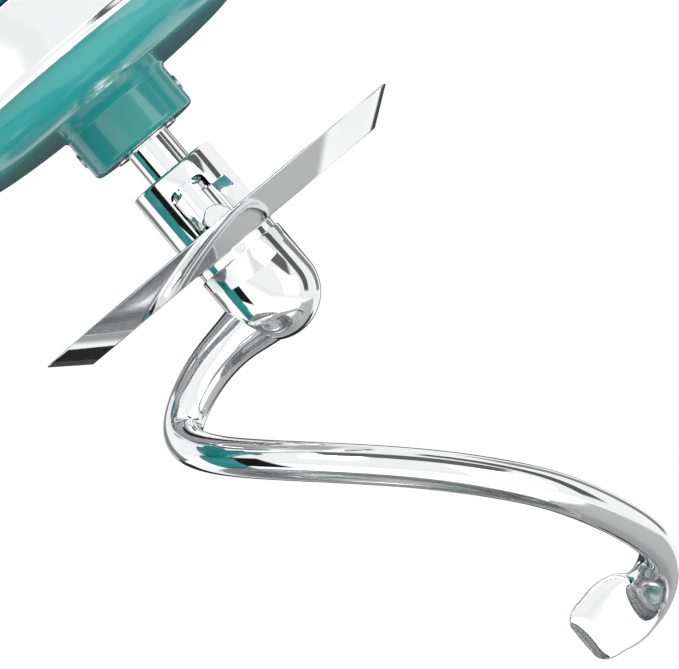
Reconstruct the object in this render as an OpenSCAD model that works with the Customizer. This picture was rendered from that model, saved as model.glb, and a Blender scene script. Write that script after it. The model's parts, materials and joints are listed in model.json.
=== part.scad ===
// Tilt-head stand mixer with a spiral dough hook, head raised.
// +X points to the nose, +Z up. Head pieces are drawn with the head level and the
// hinge at the origin, then in_head() raises them. Hook pieces hang from the collar's top.

/* [Head] */
// Angle that the head is raised by at rest
rest_tilt = 40; // [30:1:40]
// Height of the hinge above the worktop
hinge_z = 274; // [268:1:282]
// Distance from the hinge forward to the planetary axis
reach = 190; // [185:1:195]
// Radius of the head's nose
nose_r = 62; // [60:0.5:66]
// Height of the nose's upright wall
nose_wall = 48; // [40:1:52]
// Height of the dome over the nose's wall
dome_h = 46; // [36:1:50]
// Wall thickness of the head's shells
shell_t = 3; // [2:0.5:4]

/* [Planetary] */
// Offset of the beater's axis from the planetary axis
offset_y = 22; // [22:1:22]
// Radius of the carrier's dish
dish_r = 54; // [50:0.5:54.5]
// Radius of the flat under the dish
dish_flat_r = 34; // [30:1:38]
// Radius of the beater shaft
shaft_r = 6.35; // [6.3:0.01:6.4]
// Radius of the boss that carries the beater shaft
boss_r = 16; // [15:0.5:17]
// Teeth of the fixed ring gear
ring_teeth = 68; // [68:1:68]
// Teeth of the planet pinion
planet_teeth = 24; // [24:1:24]

/* [Dough hook] */
// Outer radius of the collar
collar_r = 12.5; // [12:0.1:13]
// Radius of the deflector's rim
rim_r = 57.3; // [50:0.1:60]
// Radius of the deflector's flat bottom
pan_r = 47.7; // [40:0.1:50]
// Radius of the arm's round bar
arm_r = 5; // [4.5:0.1:5.5]

/* [Bowl and base] */
// Inner radius of the bowl at its rim
bowl_r = 112; // [110:1:114]
// Inside depth of the bowl
bowl_depth = 140; // [130:1:145]
// Height of the base's top
base_top = 34; // [32:1:36]
// Radius of the base's round front
base_r = 100; // [95:1:104]

/* [Hidden] */
$fn = 64;
eps = 0.01;
fit = 0.05;                       // radial clearance of a running fit
hinge_x = -124;                   // puts the origin under the middle of the whole mixer
bowl_x = hinge_x + reach;
head_z0 = 14;                     // flat underside of the head, above the hinge
seam_z = head_z0 + nose_wall;
collar_z = -38;                   // top of the hook's collar, below the hinge
dish_z = collar_z + 23;           // flat under the carrier
dish_rise = 12;                   // height of the dish's rounded edge
hub_z = collar_z + 9.9;           // bottom of the boss
pin_z = -17.2;                    // cross pin, below the collar's top
pin_r = 3.5;
slot_z = -21.3;                   // bottom of the bayonet slot
pin_turn = 7;                     // turn of the cross pin from straight out to -Y
pan_z = -25.6;                    // deflector's flat bottom
rim_z = -18.3;
main_r = 7.5;                     // planetary shaft
lay_x = reach - 42;               // layshaft, one gear centre distance behind the planetary axis
motor_x = 62;
belt_z = 72;
belt_h = 9;
small_pulley_r = 8;
big_pulley_r = 38;
belt_t = 1.6;
belt_gap = 0.09;                  // between the belt and its pulleys
gear_z = 25;
gear_h = 8;
bowl_floor = 48;
bowl_rim = bowl_floor + bowl_depth;
bowl_t = 1.2;
foot_r = 52;                      // bowl's foot ring
twist_lugs = 3;
ear_y = 42;                       // half width of the column
slot_y = 27;                      // half width of the fork's gap
dial_x = 104;
dial_z = 50;
lever_x = 24;
lever_z = -52;

// --- places ---
module in_head() translate([hinge_x, 0, hinge_z]) rotate([0, -rest_tilt, 0]) children();
module at_planet() in_head() translate([reach, 0, 0]) children();
module at_beater() in_head() translate([reach, offset_y, 0]) children();
module at_collar() in_head() translate([reach, offset_y, collar_z]) children();
module at_column() translate([hinge_x, 0, hinge_z]) children();

// --- shared shapes ---
module tube(r_out, r_in, h) difference() {
    cylinder(r = r_out, h = h);
    translate([0, 0, -1]) cylinder(r = r_in, h = h + 2);
}
module along_y(len) rotate([90, 0, 0]) translate([0, 0, -len / 2]) children();
// A 2-D sector from angle a to angle b
module sector(r, a, b) polygon([[0, 0], for (i = [0:6]) let (t = a + (b - a) * i / 6) [r * cos(t), r * sin(t)]]);
// A spur gear's outline with straight flanks; work is the reach of each tooth past the pitch circle
module gear_outline(teeth, add, ded, top, root) {
    step = 360 / teeth;
    pitch_r = teeth / 2;
    polygon([for (i = [0:teeth - 1], p = [[-root, -ded], [-top, add], [top, add], [root, -ded]])
        let (a = i * step + p[0] * step, r = pitch_r + p[1]) [r * cos(a), r * sin(a)]]);
}
module screw(r, len) {
    cylinder(r = r, h = len);
    difference() {
        translate([0, 0, -r * 0.9]) cylinder(r = r * 1.9, h = r * 0.9);
        translate([0, 0, -r * 0.9 - eps]) cube([r * 2.4, r * 0.5, r], center = true);
    }
}

// --- base ---
module base_outline(inset) {
    translate([bowl_x, 0]) circle(r = base_r - inset);
    translate([hinge_x - 45, 0]) square([70 - 2 * inset, 150 - 2 * inset], center = true);
    polygon([[hinge_x - 12, -75 + inset], [bowl_x, -base_r + inset], [bowl_x, base_r - inset],
        [hinge_x - 12, 75 - inset]]);
}
module foot_places() for (p = [[bowl_x + 45, 72], [bowl_x + 45, -72], [hinge_x - 60, 55], [hinge_x - 60, -55]])
    translate([p[0], p[1], 0]) children();
module clamp_screw_places() for (i = [0:2])
    translate([bowl_x + 34 * cos(i * 120 + 60), 34 * sin(i * 120 + 60), 0]) children();
module base_screw_places() for (p = [[bowl_x + 70, 30], [bowl_x + 70, -30], [hinge_x - 5, 50], [hinge_x - 5, -50]])
    translate([p[0], p[1], 0]) children();
module base_housing() color("#2ba8a5") difference() {
    translate([0, 0, 5]) linear_extrude(base_top - 5) base_outline(0);
    translate([0, 0, 4]) linear_extrude(base_top - 4 - shell_t) base_outline(shell_t);
    clamp_screw_places() translate([0, 0, base_top - 6]) cylinder(r = 2.6, h = 8);
}
module base_plate() color("gray") difference() {
    translate([0, 0, 3]) linear_extrude(2) base_outline(1);
    foot_places() translate([0, 0, 1]) cylinder(r = 4, h = 6);
    base_screw_places() cylinder(r = 3, h = 12);
}
module rubber_feet() color("#222222") foot_places() {
    cylinder(r = 11, h = 3);
    translate([0, 0, 2]) cylinder(r = 4, h = 5);
}
module base_screws() color("silver") base_screw_places() translate([0, 0, 3]) cylinder(r = 3, h = 8);

// --- column ---
module column_profile(inset) polygon([[-62 + inset, base_top - hinge_z], [-62 + inset, -42], [-55 + inset, -32],
    [-10, 6 - inset], [26, 6 - inset], [36 - inset, -8], [40 - inset, -90], [54 - inset, -175],
    [68 - inset, base_top - hinge_z]]);
module column_solid(inset) intersection() {
    union() {
        along_y(2 * (ear_y - inset)) linear_extrude(2 * (ear_y - inset)) column_profile(inset);
        along_y(2 * (ear_y - inset)) cylinder(r = 13 - inset, h = 2 * (ear_y - inset));
    }
    translate([0, 0, base_top - hinge_z]) linear_extrude(-base_top + hinge_z + 14)
        hull() for (x = [-62 + 16, 68 - 16], y = [-ear_y + 16, ear_y - 16]) translate([x, y]) circle(r = 16 - inset, $fn = 32);
}
module cover_screw_places() at_column() for (y = [-22, 22], z = [31, 151])
    translate([-64.5, y, base_top - hinge_z + z]) rotate([0, 90, 0]) children();
module column_shell() color("#2ba8a5") at_column() difference() {
    column_solid(0);
    intersection() {
        column_solid(4);
        translate([-100, -60, -300]) cube([200, 120, 300 - 26]);
    }
    translate([-19, -slot_y, -19]) cube([38, 2 * slot_y, 60]);
    along_y(100) cylinder(r = 5, h = 100);
    translate([-80, -19, base_top - hinge_z + 36]) cube([30, 38, 110]);
    translate([-hinge_x, 0, -hinge_z]) cover_screw_places() cylinder(r = 1.6, h = 8);
    translate([lever_x, -20, lever_z]) rotate([90, 0, 0]) cylinder(r = 4 + fit, h = 40);
}
module column_cover() color("#2ba8a5") difference() {
    at_column() translate([-64.5, -25.5, base_top - hinge_z + 26]) cube([2.5, 51, 130]);
    at_column() translate([-70, 0, base_top - hinge_z + 46]) rotate([0, 90, 0]) cylinder(r = 6, h = 20);
    cover_screw_places() translate([0, 0, -2]) cylinder(r = 1.6, h = 8);
}
module column_screws() color("silver") cover_screw_places() screw(1.6, 6);
module cord_gland() color("#222222") at_column() translate([-72.5, 0, base_top - hinge_z + 46])
    rotate([0, 90, 0]) difference() {
        union() {
            cylinder(r1 = 6, r2 = 8, h = 8);
            cylinder(r = 6, h = 16);
        }
        translate([0, 0, -1]) cylinder(r = 3.5, h = 20);
    }
module hinge_pin() color("silver") at_column() along_y(86) cylinder(r = 5, h = 86);
module hinge_caps() color("silver") at_column() for (s = [-1, 1])
    rotate([s * 90, 0, 0]) translate([0, 0, 43]) cylinder(r = 8, h = 3);
module lock_bolt() color("silver") at_column() translate([lever_x, 0, lever_z]) rotate([90, 0, 0]) {
    translate([0, 0, 20]) cylinder(r = 4, h = 23);
    translate([-3, -3, 18]) cube([6, 16, 5]);
}
module lock_lever() color("#222222") at_column() translate([lever_x, -43, lever_z]) rotate([90, 0, 0]) {
    cylinder(r = 9, h = 6);
    translate([-4, -34, 0]) cube([8, 34, 6]);
    translate([0, -34, 0]) cylinder(r = 7, h = 9);
}

// --- head ---
module head_form(inset) hull() {
    translate([reach, 0, head_z0 + inset]) cylinder(r = nose_r - inset, h = nose_wall - inset, $fn = 48);
    translate([reach, 0, seam_z]) scale([1, 1, (dome_h - inset) / (nose_r - inset)])
        sphere(r = nose_r - inset, $fn = 48);
    translate([-26, 0, 55]) scale([1, 1, 0.88]) sphere(r = 46 - inset, $fn = 40);
}
module head_slab(low, high) translate([-120, -80, low]) cube([400, 160, high - low]);
module shell_screw_places() for (p = [[20, 11], [20, -11], [112, 28], [112, -28]]) translate([p[0], p[1], head_z0]) children();
module head_lower_shell() color("#2ba8a5") in_head() difference() {
    union() {
        difference() {
            intersection() {
                head_form(0);
                head_slab(head_z0, seam_z);
            }
            intersection() {
                head_form(shell_t);
                head_slab(head_z0 + shell_t, seam_z + 1);
            }
        }
        translate([-14, -26, -2]) cube([28, 52, head_z0 + 4]);
        along_y(52) cylinder(r = 12, h = 52);
    }
    along_y(60) cylinder(r = 7, h = 60);
    translate([reach, 0, 0]) cylinder(r = 12, h = 40);
    // level seat for the motor's frame
    translate([motor_x - 37.2, -8.2, head_z0 + shell_t]) cube([74.4, 16.4, 6]);
    translate([motor_x, 0, head_z0 + shell_t]) cylinder(r = 12.2, h = 6);
    translate([dial_x, -30, dial_z]) rotate([90, 0, 0]) cylinder(r = 5, h = 60);
    for (i = [-3:3]) translate([-80, i * 8 - 1.5, 30]) cube([26, 3, 22]);
    shell_screw_places() cylinder(r = 2, h = 10);
}
module head_upper_shell() color("#2ba8a5") in_head() difference() {
    intersection() {
        head_form(0);
        head_slab(seam_z, 130);
    }
    intersection() {
        head_form(shell_t);
        head_slab(seam_z - 1, 130);
    }
}
module trim_band() color("silver") in_head() difference() {
    intersection() {
        head_form(-1.2);
        head_slab(seam_z - 5, seam_z + 5);
    }
    intersection() {
        head_form(0);
        head_slab(seam_z - 6, seam_z + 6);
    }
}
module nose_cap() color("silver") in_head() difference() {
    translate([reach + nose_r - 4, 0, 38]) rotate([0, 90, 0]) {
        cylinder(r = 16, h = 8.5);
        translate([0, 0, 8.5]) cylinder(r1 = 16, r2 = 12, h = 2);
    }
    head_form(0);
}
module shell_screws() color("silver") in_head() shell_screw_places() screw(2, 10);
module hinge_bushes() color("goldenrod") in_head() for (s = [0, 1]) mirror([0, s, 0])
    translate([0, 26, 0]) rotate([90, 0, 0]) tube(7, 5 + fit, 16);
module drip_ring() color("silver") at_planet() rotate_extrude()
    polygon([[56, -4.3], [57.4, -4.3], [57.6, -3], [57.2, -2], [57.8, 4], [58, 14], [46, 14], [46, 12.6], [56.4, 12.6], [55.8, 0]]);
module ring_gear() color("dimgray") at_planet() difference() {
    translate([0, 0, 4]) cylinder(r = 42, h = 10);
    translate([0, 0, 3]) linear_extrude(12) gear_outline(ring_teeth, 1.25, -0.8, 0.14, 0.36);
}
module gearbox_plate() color("lightgray") in_head() difference() {
    union() {
        translate([reach, 0, head_z0 + shell_t]) cylinder(r = 45, h = 4);
        translate([lay_x - 14, -20, head_z0 + shell_t]) cube([44, 40, 4]);
        translate([reach, 0, head_z0 + shell_t]) cylinder(r = 16, h = 7);
        translate([lay_x, 0, head_z0 + shell_t]) cylinder(r = 10, h = 6);
        for (y = [-42, 42]) translate([reach - 8, y - 3, head_z0 + shell_t]) cube([16, 6, 30]);
        translate([reach - 8, -45, 44]) cube([16, 90, 5]);
    }
    translate([reach, 0, 0]) cylinder(r = 12, h = 80);
    translate([lay_x, 0, 0]) cylinder(r = 7, h = 80);
}
module main_bearings() color("gray") in_head() translate([reach, 0, 0]) for (z = [15, 43])
    translate([0, 0, z]) tube(12, main_r + fit, 6);
module layshaft_bearings() color("goldenrod") in_head() translate([lay_x, 0, head_z0 + shell_t])
    tube(7, 4 + fit, 6);

// --- motor, standing in the head ---
module motor_part() in_head() translate([motor_x, 0, 0]) children();
module stator_core() color("dimgray") motor_part() difference() {
    translate([0, 0, 30]) cylinder(r = 34, h = 24);
    translate([0, 0, 29]) cylinder(r = 21, h = 26);
    for (s = [-1, 1]) translate([-16, s * 25 - 3, 29]) cube([32, 6, 26]);
}
module field_coils() color("#b5651d") motor_part() for (s = [-1, 1])
    translate([-15.5, s * 25 - 2.5, 27]) cube([31, 5, 30]);
module motor_frame() color("lightgray") motor_part() difference() {
    union() {
        translate([0, 0, head_z0 + shell_t]) cylinder(r = 12, h = 5);
        translate([-34, -8, head_z0 + shell_t]) cube([68, 16, 3]);
        translate([-34, -8, 64]) cube([68, 16, 4]);
        for (s = [-1, 1]) translate([s * 35.5 - 1.5, -8, head_z0 + shell_t]) cube([3, 16, 51]);
    }
    translate([0, 0, 16]) cylinder(r = 7, h = 60);
}
module motor_bearings() color("gray") motor_part() for (z = [17, 64])
    translate([0, 0, z]) tube(7, 3 + fit, 4);
module brush_holders() color("goldenrod") motor_part() for (s = [0, 1]) mirror([0, s, 0])
    translate([-3.5, 11, 57.5]) difference() {
        cube([7, 16, 6]);
        translate([1, -1, 1]) cube([5, 14, 4]);
    }
module carbon_brushes() color("#333333") motor_part() for (s = [0, 1]) mirror([0, s, 0])
    translate([-2.5, 10.4, 58.5]) cube([5, 10, 4]);
module armature_core() color("dimgray") motor_part() difference() {
    translate([0, 0, 30]) cylinder(r = 20, h = 24);
    translate([0, 0, 29]) cylinder(r = 3, h = 30);
    for (i = [0:11]) rotate(i * 30) translate([15, -1, 29]) cube([6, 2, 26]);
}
module commutator() color("#b87333") motor_part() translate([0, 0, 57]) tube(10, 3, 6.5);
module motor_shaft() color("silver") motor_part() translate([0, 0, 17.5]) cylinder(r = 3, h = 64);
module motor_pulley() color("gray") motor_part() translate([0, 0, belt_z - 1]) tube(small_pulley_r, 3, belt_h + 1.5);
module cooling_fan() color("#222222") motor_part() translate([0, 0, 22.5]) difference() {
    union() {
        cylinder(r = 7, h = 5);
        cylinder(r = 26, h = 1.2);
        for (i = [0:11]) rotate(i * 30) translate([6, -0.6, 0]) cube([19, 1.2, 4]);
    }
    translate([0, 0, -1]) cylinder(r = 3, h = 8);
}
module belt_outline(r_extra) hull() {
    circle(r = small_pulley_r + r_extra, $fn = 180);
    translate([lay_x - motor_x, 0]) circle(r = big_pulley_r + r_extra, $fn = 180);
}
module drive_belt() color("#222222") motor_part() translate([0, 0, belt_z]) difference() {
    linear_extrude(belt_h) belt_outline(belt_gap + belt_t);
    translate([0, 0, -1]) linear_extrude(belt_h + 2) belt_outline(belt_gap);
}
module speed_switch() color("#d8d8d0") in_head() translate([dial_x, 0, dial_z]) rotate([90, 0, 0]) difference() {
    translate([-9, -9, 42]) cube([18, 18, 8]);
    translate([0, 0, 40]) cylinder(r = 3 + fit, h = 20);
}
module control_board() color("#1f6b3a") in_head() translate([-48, -20, 30]) {
    cube([60, 40, 1.6]);
    translate([8, 8, 1.6]) cube([14, 24, 12]);
    translate([32, 10, 1.6]) cube([18, 10, 8]);
}
module speed_dial() color("#e0e0e0") in_head() translate([dial_x, 0, dial_z]) rotate([90, 0, 0]) {
    translate([0, 0, 42]) cylinder(r = 3, h = 18);
    translate([0, 0, 58]) cylinder(r = 15, h = 4);
    translate([0, 0, 62]) cylinder(r1 = 13.5, r2 = 12, h = 10);
}

// --- gear train ---
module layshaft() color("silver") in_head() translate([lay_x, 0, 18]) {
    cylinder(r = 4, h = 66);
    translate([0, 0, gear_z - 18]) linear_extrude(gear_h) gear_outline(12, 0.7, 1.25, 0.1, 0.3);
}
module layshaft_pulley() color("gray") in_head() translate([lay_x, 0, belt_z - 1]) tube(big_pulley_r, 4, belt_h + 2);
module main_gear() color("dimgray") at_planet() translate([0, 0, gear_z]) difference() {
    linear_extrude(gear_h) rotate(2.5) gear_outline(72, 0.7, 1.25, 0.1, 0.3);
    translate([0, 0, -1]) cylinder(r = main_r, h = gear_h + 2);
}
module main_shaft() color("silver") at_planet() translate([0, 0, dish_z + shell_t])
    cylinder(r = main_r, h = 52 - dish_z - shell_t);

// --- planetary carrier ---
// Outline of the dish: flat, then a quarter of an ellipse up to the rim
function dish_edge(r_end, rise, inset) = [for (i = [0:10]) let (a = i * 9)
    [dish_flat_r + (r_end - inset - dish_flat_r) * sin(a), inset + rise * (1 - cos(a))]];
module planet_carrier() color("#2ba8a5") at_planet() difference() {
    union() {
        translate([0, 0, dish_z]) rotate_extrude() polygon(concat([[0, 0]], dish_edge(dish_r, dish_rise, 0),
            [[dish_r, dish_rise + 1], [dish_r - shell_t, dish_rise + 1]],
            [for (i = [10:-1:0]) dish_edge(dish_r, dish_rise - shell_t, shell_t)[i]], [[0, shell_t]]));
        translate([0, 0, dish_z + 1]) cylinder(r = 7 + main_r, h = 14);
        translate([0, offset_y, hub_z]) cylinder(r = boss_r, h = 14);
        translate([0, offset_y, dish_z + 1]) cylinder(r = 12, h = 16);
    }
    translate([0, 0, dish_z + shell_t]) cylinder(r = main_r, h = 40);
    translate([0, offset_y, hub_z - 1]) cylinder(r = 9, h = 45);
    boss_pin_holes() cylinder(r = 2.2, h = 8);
}
module boss_pin_holes() for (s = [0, 1]) mirror([s, 0, 0])
    translate([9.5, offset_y, collar_z + 16.5]) rotate([0, 90, 0]) children();
module boss_pins() color("silver") at_planet() boss_pin_holes() cylinder(r = 2.2, h = 7);
module boss_bushes() color("goldenrod") at_beater() for (z = [hub_z + 0.4, dish_z + 7])
    translate([0, 0, z]) tube(9, shaft_r + fit, 10);
module pin_shape() rotate(pin_turn) translate([0, 0, pin_z]) along_y(2 * collar_r - 0.6)
    cylinder(r = pin_r, h = 2 * collar_r - 0.6);
module beater_shaft() color("silver") at_collar() difference() {
    translate([0, 0, -24]) cylinder(r = shaft_r, h = 75.5);
    pin_shape();
}
module planet_pinion() color("dimgray") at_beater() difference() {
    translate([0, 0, 4.6]) linear_extrude(8.8) rotate(90) gear_outline(planet_teeth, 0.7, 1.2, 0.12, 0.27);
    cylinder(r = shaft_r, h = 40);
}
module cross_pin() color("silver") at_collar() pin_shape();
module thrust_washer() color("silver") at_collar() translate([0, 0, 9.1]) tube(9.5, shaft_r, 0.75);

// --- dough hook, drawn from the collar's top down ---
// The bayonet slot on both sides: a pocket for the pin, a cross channel and an entry from the top
module bayonet_slot() for (turn = [0, 180]) rotate(turn) translate([0, -1, 0]) rotate([90, 0, 0]) linear_extrude(14)
    polygon([[-5.3, slot_z], [-5.3, -5.2], [5.6, -5.2], [5.6, -9.6], [10.1, -9.6], [10.1, 3], [14, 3], [14, slot_z]]);
module hook_collar() color("silver") at_collar() difference() {
    rotate(45) rotate_extrude() polygon([[shaft_r + fit, -25], [shaft_r + fit, 0], [collar_r - 0.6, 0],
        [collar_r, -0.6], [collar_r, -25], [collar_r - 0.6, -25.2], [collar_r - 0.6, -28], [0, -28], [0, -25]]);
    bayonet_slot();
}
module hook_deflector() color("silver") at_collar() rotate_extrude()
    polygon([[collar_r, pan_z], [pan_r, pan_z], [rim_r, rim_z - 0.6], [rim_r, rim_z], [rim_r - 1, rim_z],
        [pan_r - 0.4, pan_z + 1], [collar_r, pan_z + 1]]);

// Points on the arm's centre line with the section's half height and half thickness
hook_path = [[2, 0, -43, 11, 11], [-8, 0.5, -44, 8.5, 8.5], [-16, 2, -44.3, 6.4, 6.4], [-26, 3, -45.8, 6, 6],
    [-36.5, 3, -50, 5.6, 5.6], [-43.2, -2, -56, arm_r, arm_r], [-36.7, -20.5, -64.5, arm_r, arm_r],
    [-19.8, -35, -79, arm_r, arm_r], [0, -38.5, -97.3, arm_r, arm_r], [15, -34, -114.5, arm_r, arm_r],
    [25.2, -25.5, -129.4, arm_r, arm_r], [34.5, -4, -152.5, arm_r, 4.8],
    [32.5, 8, -161.5, 6.2, 4.2], [25, 14.5, -166, 8.6, 3.2], [16, 16.5, -167, 9.8, 2.6], [5.5, 16.5, -167.5, 8, 2.2]];
function spline(p, i, t) = let (a = p[max(i - 1, 0)], b = p[i], c = p[i + 1], d = p[min(i + 2, len(p) - 1)])
    0.5 * (2 * b + (c - a) * t + (2 * a - 5 * b + 4 * c - d) * t * t + (3 * b - a - 3 * c + d) * t * t * t);
function unit(v) = v / norm(v);
function place(q) = [q[0], q[1], q[2]];
module swept(points, per_span, sides) {
    rail = [for (i = [0:len(points) - 2], k = [0:per_span - 1]) spline(points, i, k / per_span), points[len(points) - 1]];
    n = len(rail);
    rings = [for (j = [0:n - 1])
        let (t = unit(place(rail[min(j + 1, n - 1)]) - place(rail[max(j - 1, 0)])),
             up = unit([0, 0, 1] - t[2] * t), side = cross(t, up))
        for (k = [0:sides - 1]) place(rail[j]) + rail[j][3] * cos(360 * k / sides) * up
            + rail[j][4] * sin(360 * k / sides) * side];
    polyhedron(rings, concat([[for (k = [0:sides - 1]) k]],
        [for (j = [0:n - 2], k = [0:sides - 1]) let (a = j * sides + k, b = j * sides + (k + 1) % sides)
            [a, a + sides, b + sides, b]],
        [[for (k = [sides - 1:-1:0]) (n - 1) * sides + k]]), convexity = 6);
}
module hook_arm() color("silver") at_collar() {
    translate([0, 0, -41]) cylinder(r = 12.7, h = 13);
    translate([0, 0, -41]) sphere(r = 12.7);
    swept(hook_path, 5, 20);
}

// --- bowl ---
// The bowl's wall: flat floor, round corner, then a slightly flared side
function bowl_wall(out) = concat([[0, bowl_floor - out], [46, bowl_floor - out]],
    [for (i = [1:9]) let (a = i * 9.6) [46 + (59 + out) * sin(a), bowl_floor + 59 - (59 + out) * cos(a)]],
    [[bowl_r + out, bowl_rim]]);
module bowl_shell() color("silver") translate([bowl_x, 0, 0]) {
    rotate_extrude($fn = 96) polygon(concat(bowl_wall(bowl_t), [for (i = [11:-1:0]) bowl_wall(0)[i]]));
    translate([0, 0, bowl_rim]) rotate_extrude($fn = 96) translate([bowl_r + 1.6, -1.6]) circle(r = 2.2, $fn = 24);
}
module bowl_foot() color("silver") translate([bowl_x, 0, 0]) {
    translate([0, 0, base_top + 3.4]) tube(foot_r, foot_r - 8, bowl_floor - base_top - 3.4 - bowl_t);
    for (i = [0:twist_lugs - 1]) translate([0, 0, base_top + 3.4]) linear_extrude(2.5) rotate(i * 120) difference() {
        sector(foot_r + 4, -13, 13);
        circle(r = foot_r - 1);
    }
}
module bowl_clamp_plate() color("gray") translate([bowl_x, 0, base_top]) difference() {
    union() {
        cylinder(r = foot_r + 10, h = 3);
        difference() {
            cylinder(r = foot_r + 8, h = 8);
            translate([0, 0, -1]) cylinder(r = foot_r + 4.6, h = 12);
        }
        translate([0, 0, 6.4]) linear_extrude(1.6) for (i = [0:twist_lugs - 1]) rotate(i * 120) difference() {
            sector(foot_r + 6, -15, 15);
            circle(r = foot_r + 0.8);
        }
    }
    translate([-bowl_x, 0, -1]) clamp_screw_places() cylinder(r = 2.6, h = 8);
}
module clamp_screws() color("silver") clamp_screw_places() translate([0, 0, base_top - 5]) cylinder(r = 2.6, h = 7.5);
// Handle: a flat bar bent to a D, its ends welded to the bowl
handle_path = [[104, 0, 158, 9, 2.2], [122, 0, 160, 9, 2.2], [144, 0, 158, 9, 2.4], [155, 0, 142, 9, 2.6],
    [153, 0, 116, 9, 2.6], [143, 0, 92, 9, 2.4], [124, 0, 82, 9, 2.2], [103, 0, 82, 9, 2.2]];
module bowl_handle() color("silver") translate([bowl_x, 0, 0]) difference() {
    along_y(18) linear_extrude(18) difference() {
        polygon([for (q = [for (i = [0:6], k = [0:3]) spline(handle_path, i, k / 4)]) [q[0] + 2, q[2]]]);
        offset(delta = -5) polygon([for (q = [for (i = [0:6], k = [0:3]) spline(handle_path, i, k / 4)]) [q[0] + 2, q[2]]]);
    }
    rotate_extrude($fn = 96) polygon(concat(bowl_wall(bowl_t), [[0, bowl_rim]]));
}

base_housing();
base_plate();
rubber_feet();
base_screws();
column_shell();
column_cover();
column_screws();
bowl_clamp_plate();
clamp_screws();
hinge_pin();
hinge_caps();
cord_gland();
lock_bolt();
lock_lever();
head_lower_shell();
head_upper_shell();
trim_band();
shell_screws();
hinge_bushes();
drip_ring();
ring_gear();
gearbox_plate();
main_bearings();
layshaft_bearings();
stator_core();
field_coils();
motor_frame();
motor_bearings();
brush_holders();
carbon_brushes();
drive_belt();
speed_switch();
control_board();
speed_dial();
armature_core();
commutator();
motor_shaft();
motor_pulley();
cooling_fan();
layshaft();
layshaft_pulley();
main_gear();
main_shaft();
planet_carrier();
boss_pins();
boss_bushes();
beater_shaft();
planet_pinion();
cross_pin();
thrust_washer();
hook_collar();
hook_deflector();
hook_arm();
bowl_shell();
bowl_foot();
bowl_handle();
nose_cap();
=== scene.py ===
"""Looks of a tilt-head stand mixer.

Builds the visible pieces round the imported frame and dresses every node.
"""

from __future__ import annotations

import json
import logging
import math
from dataclasses import dataclass, field
from enum import Enum
from typing import Callable, Iterable, Sequence

import bmesh
import bpy
import numpy as np
from mathutils import Matrix, Vector


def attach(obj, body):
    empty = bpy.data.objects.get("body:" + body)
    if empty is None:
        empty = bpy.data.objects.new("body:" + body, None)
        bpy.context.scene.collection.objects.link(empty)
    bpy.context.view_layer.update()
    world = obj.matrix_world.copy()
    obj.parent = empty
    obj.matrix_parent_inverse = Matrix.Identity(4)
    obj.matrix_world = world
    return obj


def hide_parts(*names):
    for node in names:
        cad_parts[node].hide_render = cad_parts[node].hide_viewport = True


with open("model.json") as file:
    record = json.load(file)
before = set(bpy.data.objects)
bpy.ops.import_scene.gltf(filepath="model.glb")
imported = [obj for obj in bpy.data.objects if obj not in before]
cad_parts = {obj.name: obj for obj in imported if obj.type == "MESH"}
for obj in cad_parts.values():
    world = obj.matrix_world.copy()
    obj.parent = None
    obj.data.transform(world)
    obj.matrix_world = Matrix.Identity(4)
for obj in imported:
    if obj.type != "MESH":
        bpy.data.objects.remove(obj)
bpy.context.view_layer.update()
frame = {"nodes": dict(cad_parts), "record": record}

MM = 0.001
WELD = 1e-6  # points closer than this, in metres, are one point
SLIVER = 1e-7  # edges shorter than this, in metres, are dropped
QUARTER = math.pi / 2
ACROSS = Matrix.Rotation(QUARTER, 4, "X")  # turns what points up Z to point along -Y
AXIS = 0.01  # the radius of a pinhole on the axis, in millimetres, where a closed outline meets it
LOG = logging.getLogger("mixer")
Profile = list[tuple[float, float]]


# ---------------------------------------------------------------- shader maths


class Maths:
    """A shader socket that Python's operators build Math nodes on."""

    def __init__(self, graph: "Graph", socket: bpy.types.NodeSocket) -> None:
        """Wraps one output socket of a graph."""
        self.graph = graph
        self.socket = socket

    def _join(self, operation: str, first: object, second: object) -> "Maths":
        """Adds one Math node.

        Args:
            operation: the Math node's operation.
            first: a number or a Maths.
            second: a number or a Maths.

        Returns:
            The node's output.
        """
        return self.graph.node("ShaderNodeMath", {"operation": operation}, {0: first, 1: second})

    def __add__(self, other: object) -> "Maths":
        """Returns self + other."""
        return self._join("ADD", self, other)

    __radd__ = __add__

    def __sub__(self, other: object) -> "Maths":
        """Returns self - other."""
        return self._join("SUBTRACT", self, other)

    def __rsub__(self, other: object) -> "Maths":
        """Returns other - self."""
        return self._join("SUBTRACT", other, self)

    def __mul__(self, other: object) -> "Maths":
        """Returns self * other."""
        return self._join("MULTIPLY", self, other)

    __rmul__ = __mul__

    def __truediv__(self, other: object) -> "Maths":
        """Returns self / other."""
        return self._join("DIVIDE", self, other)

    def smooth(self, low: float, high: float) -> "Maths":
        """Returns a soft step that rises from 0 at low to 1 at high."""
        values = {"Value": self, "From Min": low, "From Max": high}
        return self.graph.node("ShaderNodeMapRange", {"interpolation_type": "SMOOTHSTEP"}, values)


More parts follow.
